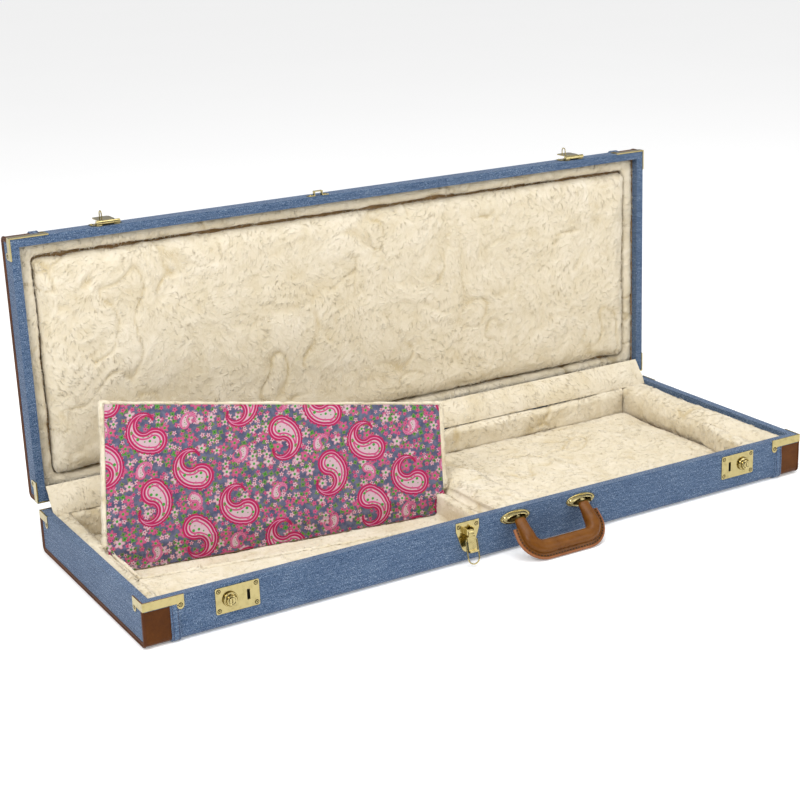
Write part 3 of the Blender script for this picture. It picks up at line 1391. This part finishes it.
def pocket_line(distance):
    """The pocket's hinge line at both ends of its lid, moved towards the front."""
    low, high = shut_box("pocket_lid_fur", POCKET_OPEN)
    spot, way = Vector(JOINTS["pocket_lid_hinge"]["pos_m"]), Vector(JOINTS["pocket_lid_hinge"]["axis"])
    front = Vector((way.y, -way.x, 0)) * distance
    return [spot + front + way * ((x - spot.x - front.x) / way.x) for x in (low.x, high.x)]


def pocket_outline(inset, near):
    """Corners of the shut pocket lid, drawn in by an inset: (x, y)."""
    low, high = shut_box("pocket_lid_fur", POCKET_OPEN)
    left, right = pocket_line(near)
    slope = (right.y - left.y) / (right.x - left.x)
    xs = low.x + inset[0], high.x - inset[1]
    return [
        (xs[0], left.y + slope * (xs[0] - left.x)),
        (xs[1], left.y + slope * (xs[1] - left.x)),
        (xs[1], low.y + inset[2]),
        (xs[0], low.y + inset[2]),
    ]


def outline_share(corners, u, v):
    """A spot in a four-cornered outline."""
    a, b, c, d = (np.array(corner) for corner in corners)
    return (a * (1 - u) + b * u) * (1 - v) + (d * (1 - u) + c * u) * v


def double_sheet(name, front, back, columns, look):
    """A closed sheet of cloth from two layers of spots, row by row."""
    count = len(front)
    rows = count // (columns + 1) - 1
    faces = []
    for j in range(rows):
        for i in range(columns):
            a = j * (columns + 1) + i
            quad = (a, a + 1, a + columns + 2, a + columns + 1)
            faces.append(quad)
            faces.append(tuple(k + count for k in reversed(quad)))
    edge = list(range(columns + 1))
    edge += [j * (columns + 1) + columns for j in range(1, rows + 1)]
    edge += [rows * (columns + 1) + i for i in range(columns - 1, -1, -1)]
    edge += [j * (columns + 1) for j in range(rows - 1, 0, -1)]
    for a, b in zip(edge, edge[1:] + edge[:1]):
        faces.append((b, a, a + count, b + count))
    return piece(name, np.vstack([front, back]), faces, look, 60)


def make_pocket_lid():
    """Plush wrapped round the pocket lid's board."""
    underside = shut_box("pocket_lid_lining", POCKET_OPEN)[0].z
    top = shut_box("pocket_lid_fur", POCKET_OPEN)[1].z
    outer = pocket_outline(PLUSH_INSET, POCKET_LID_NEAR)
    low_z, high_z = underside - POCKET_LID_LAP, top - 0.001
    corners = [Vector((*corner, low_z)) for corner in outer] + [Vector((*corner, high_z)) for corner in outer]
    faces = [(3, 2, 1, 0), (4, 5, 6, 7), (0, 1, 5, 4), (1, 2, 6, 5), (2, 3, 7, 6), (3, 0, 4, 7)]
    pad = piece("pocket_lid_plush", corners, faces, PLUSH)
    even = pad.modifiers.new("even", "REMESH")
    even.mode = "VOXEL"
    even.voxel_size = 0.0040
    baked(pad)
    swell([(pad, 1.6, 0.0016)])
    finer = pad.modifiers.new("finer", "SUBSURF")
    finer.levels = finer.render_levels = 1
    baked(pad)
    crush(pad, 905, 0.7)
    spots = spots_of(pad)
    sunk = (spots[:, 2] < (low_z + high_z) / 2) & (over_print(spots) > -0.001)
    spots[:, 2] = np.where(sunk, np.maximum(spots[:, 2], underside + 0.0002), spots[:, 2])
    set_spots(pad, spots)
    pad.data.materials.clear()
    pad.data.materials.append(PLUSH)
    pad.data.shade_smooth()
    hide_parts("pocket_lid_fur", "pocket_lid_board")
    settle(pad, "pocket_lid")
    spin = POCKET_OPEN.to_3x3()
    ways = [spin @ Vector(way) for way in ((0, 0, 1), (0, 0, -1), (0, -1, 0), (1, 0, 0), (-1, 0, 0))]
    pile = tufts(pad, "pocket_lid_pile", TUFTS_PER_SQUARE_METRE, [tuple(way) for way in ways], 911, 0.0065)
    blades = spots_of(pile).reshape(-1, 7, 3)
    back = np.array(POCKET_OPEN.inverted())
    shut = blades @ back[:3, :3].T + back[:3, 3]
    over = np.zeros(len(shut), bool)
    for spot in (shut[:, 2], shut[:, 6]):
        over |= (over_print(spot) > 0.0012) & (spot[:, 2] < underside + 0.002)
    bm = bmesh.new()
    bm.from_mesh(pile.data)
    bm.verts.ensure_lookup_table()
    bmesh.ops.delete(bm, geom=[bm.verts[i] for i in np.flatnonzero(np.repeat(over, 7))], context="VERTS")
    bm.to_mesh(pile.data)
    bm.free()
    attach(pile, "pocket_lid")


def over_print(spots):
    """How far spots of the shut pocket lid are inside the print's outline."""
    inset = pocket_outline(PRINT_INSET, 0.0005)
    slope = (inset[1][1] - inset[0][1]) / (inset[1][0] - inset[0][0])
    hinge_side = inset[0][1] + slope * (spots[:, 0] - inset[0][0])
    return np.minimum.reduce([
        spots[:, 0] - inset[0][0],
        inset[1][0] - spots[:, 0],
        spots[:, 1] - inset[2][1],
        hinge_side - spots[:, 1],
    ])


def make_print():
    """Printed cloth from the foot of the pocket's back wall, over the hinge, to the lid's far edge."""
    underside = shut_box("pocket_lid_lining", POCKET_OPEN)[0].z
    inset = pocket_outline(PRINT_INSET, 0.0)
    left, right = pocket_line(0.0034)
    columns, lid_rows, wall_rows = 130, 46, 10
    wall_top = underside - 0.0018
    front, back, cloth = [], [], []
    outward = (POCKET_OPEN.to_3x3() @ Vector((0, 0, -1))).normalized()
    slope = (right.y - left.y) / (right.x - left.x)
    for j in range(wall_rows + 1):
        z = WELL_FLOOR + (wall_top - WELL_FLOOR) * j / wall_rows
        for i in range(columns + 1):
            x = inset[0][0] + (inset[1][0] - inset[0][0]) * i / columns
            y = left.y + slope * (x - left.x)
            front.append(Vector((x, y, z)))
            back.append(Vector((x, y + 0.0007, z)))
            cloth.append((x, z - wall_top))
    for j in range(lid_rows + 1):
        for i in range(columns + 1):
            x, y = outline_share(inset, i / columns, j / lid_rows)
            hinge_y = outline_share(inset, i / columns, 0)[1]
            at = POCKET_OPEN @ Vector((x, y, underside - 0.0006))
            front.append(at + outward * 0.0007)
            back.append(at)
            cloth.append((x, 0.004 + hinge_y - y))
    front, back = np.array(front), np.array(back)
    ripple = 0.00032 * field(back, 0.050, 31) + 0.00014 * field(back, 0.014, 33)
    front += np.array(outward) * ripple[:, None]
    back += np.array(outward) * ripple[:, None]
    made = double_sheet("pocket_print", front, back, columns, PAISLEY)
    set_uvs(made, cloth + cloth)
    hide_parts("pocket_lid_lining")
    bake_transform(made)


def prism(outline, low, high):
    """The spots and faces of an upright solid over a four-cornered outline."""
    spots = [Vector((*corner, low)) for corner in outline] + [Vector((*corner, high)) for corner in outline]
    return spots, [(3, 2, 1, 0), (4, 5, 6, 7), (0, 1, 5, 4), (1, 2, 6, 5), (2, 3, 7, 6), (3, 0, 4, 7)]


def make_well():
    """Plush over the pocket's floor, its front and its two ends."""
    low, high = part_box("pocket_liner")
    corners = np.array([vertex.co for vertex in NODES["pocket_liner"].data.vertices])

    def front_y(x):
        ends = [corners[abs(corners[:, 0] - end) < 0.0005][:, 1].min() for end in (low.x, high.x)]
        return ends[0] + (ends[1] - ends[0]) * (x - low.x) / (high.x - low.x)

    left, right = pocket_line(0.0042)
    slope = (right.y - left.y) / (right.x - left.x)

    def back_y(x):
        return left.y + slope * (x - left.x)

    def between(x_from, x_to, front, back=0.0):
        xs = x_from, x_to
        at_back = [(x, back_y(x) - back) for x in xs]
        return at_back + [(xs[1], front[1]), (xs[0], front[0])]

    inner, outer = low.x + WELL_CLEAR, high.x - WELL_CLEAR
    wall = outer - WELL_END
    fronts = front_y(inner) + WELL_CLEAR, front_y(outer) + WELL_CLEAR
    floor_z = low.z + WELL_CLEAR
    parts = [
        prism(between(inner, outer, fronts), floor_z, WELL_FLOOR - 0.0005),
        prism(between(wall, outer, (front_y(wall) + WELL_CLEAR, fronts[1])), floor_z, high.z - 0.0008),
        prism(between(inner, inner + 0.0050, (fronts[0], fronts[0])), floor_z, high.z - 0.0020),
        prism([
            (inner, fronts[0] + 0.0045),
            (outer, fronts[1] + 0.0045),
            (outer, fronts[1]),
            (inner, fronts[0]),
        ], floor_z, high.z - 0.0020),
    ]
    spots, faces = [], []
    for some, more in parts:
        faces += [tuple(k + len(spots) for k in face) for face in more]
        spots += some
    pad = piece("pocket_well_plush", spots, faces, PLUSH)
    even = pad.modifiers.new("even", "REMESH")
    even.mode = "VOXEL"
    even.voxel_size = 0.0024
    baked(pad)
    swell([(pad, 1.2, 0.0010)])
    crush(pad, 777, 0.6)
    pad.data.materials.clear()
    pad.data.materials.append(PLUSH)
    pad.data.shade_smooth()
    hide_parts("pocket_liner")
    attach(pad, "base")
    room = np.array(low) + 0.0005, np.array(high) + [-0.0005, -0.0042, 0.0015]
    facing = [(0, 0, 1), (-1, 0, 0), (1, 0, 0)]
    pile = tufts(pad, "pocket_well_pile", TUFTS_PER_SQUARE_METRE, facing, 781, 0.0065, room)
    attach(pile, "base")


PLUSH_INSET = (-0.0060, -0.0050, -0.0040)
WELL_CLEAR = 0.0022
WELL_FLOOR = 0.0115
WELL_END = 0.0130
PRINT_INSET = (0.0015, 0.0035, 0.0020)


def set_uvs(obj, uvs):
    layer = obj.data.uv_layers.new(name="cloth")
    spots = np.array([uvs[loop.vertex_index] for loop in obj.data.loops], np.float32)
    layer.data.foreach_set("uv", spots.ravel())


# Gusset behind the linings


def make_gusset():
    """The soft strip that bridges the hinge side, from the base's lining to the lid's."""
    start = Vector((0, WALL - RIM - 0.0070, BASE_HIGH.z - 0.0050))
    end = LID_OPEN @ Vector((0, WALL - RIM - 0.0090, LID_LOW.z + 0.0005))
    way = (end - start).normalized()
    out = Vector((0, -way.z, way.y))
    steps, columns = 14, 250
    half_long = shut_box("lid_border", LID_OPEN)[1].x - 0.0006
    front, back = [], []
    for layer, thick in ((front, 0.0013), (back, 0.0)):
        for k in range(steps + 1):
            share = k / steps
            for i in range(columns + 1):
                x = half_long * (2 * i / columns - 1)
                near_end = float(smooth(np.array(half_long - abs(x)), 0.0, 0.040))
                bulge = (0.0038 * near_end + 0.0010) * math.sin(math.pi * share) ** 0.7 + thick - 0.0012
                spot = start.lerp(end, share) + out * bulge
                layer.append((x, spot.y, spot.z))
    front, back = np.array(front), np.array(back)
    lift = 0.0016 * field(back, 0.030, 61) + 0.0009 * field(back, 0.012, 63)
    lift *= np.repeat(np.sin(np.pi * np.arange(steps + 1) / steps), columns + 1)
    front += np.array(out) * lift[:, None]
    back += np.array(out) * lift[:, None]
    gusset = double_sheet("hinge_gusset", front, back, columns, PLUSH)
    set_pile(gusset, 0.56 + 0.1 * field(spots_of(gusset), 0.02, 66))
    pile = tufts(gusset, "hinge_gusset_pile", TUFTS_PER_SQUARE_METRE, [tuple(out)], 641)
    for made in (gusset, pile):
        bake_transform(made)


# Everything in its place


def dress_cad():
    """Gives each CAD node that stays its finish, and rounds the edges of brass and cloth."""
    replaced = set(PADS)
    for name, obj in NODES.items():
        if name in replaced:
            continue
        if name.endswith("_cover"):
            look, width = DENIM, 0.0007
        elif "_leather_" in name:
            look, width = LEATHER, 0.0
        elif name.endswith("_walls") or name.endswith("_panel") or name.endswith("_board"):
            look, width = PLY, 0.0
        elif name.endswith("_case"):
            look, width = STEEL, 0.0
        elif name in ("pocket_liner", "pocket_lid_lining"):
            look, width = PAISLEY, 0.0
        elif name == "handle_grip":
            look, width = LEATHER_HANDLE, 0.0
        elif name == "pocket_lid_fur":
            look, width = PLUSH, 0.0
        else:
            look, width = BRASS, 0.00040 if name.startswith("lock") else 0.00028
        obj.data.materials.clear()
        obj.data.materials.append(look)
        if width:
            soften(name, width)


def build():
    set_camera()
    set_studio()
    dress_cad()
    make_pads()
    make_pocket_lid()
    make_well()
    make_print()
    for half, side in product(("base", "lid"), (-1, 1)):
        binding(half, side)
        end_welt(half, side)
    fasteners()
    for hand in ("left", "right"):
        lock_knob(hand)
        handle_mount(hand)
    make_handle()
    make_gusset()


build()
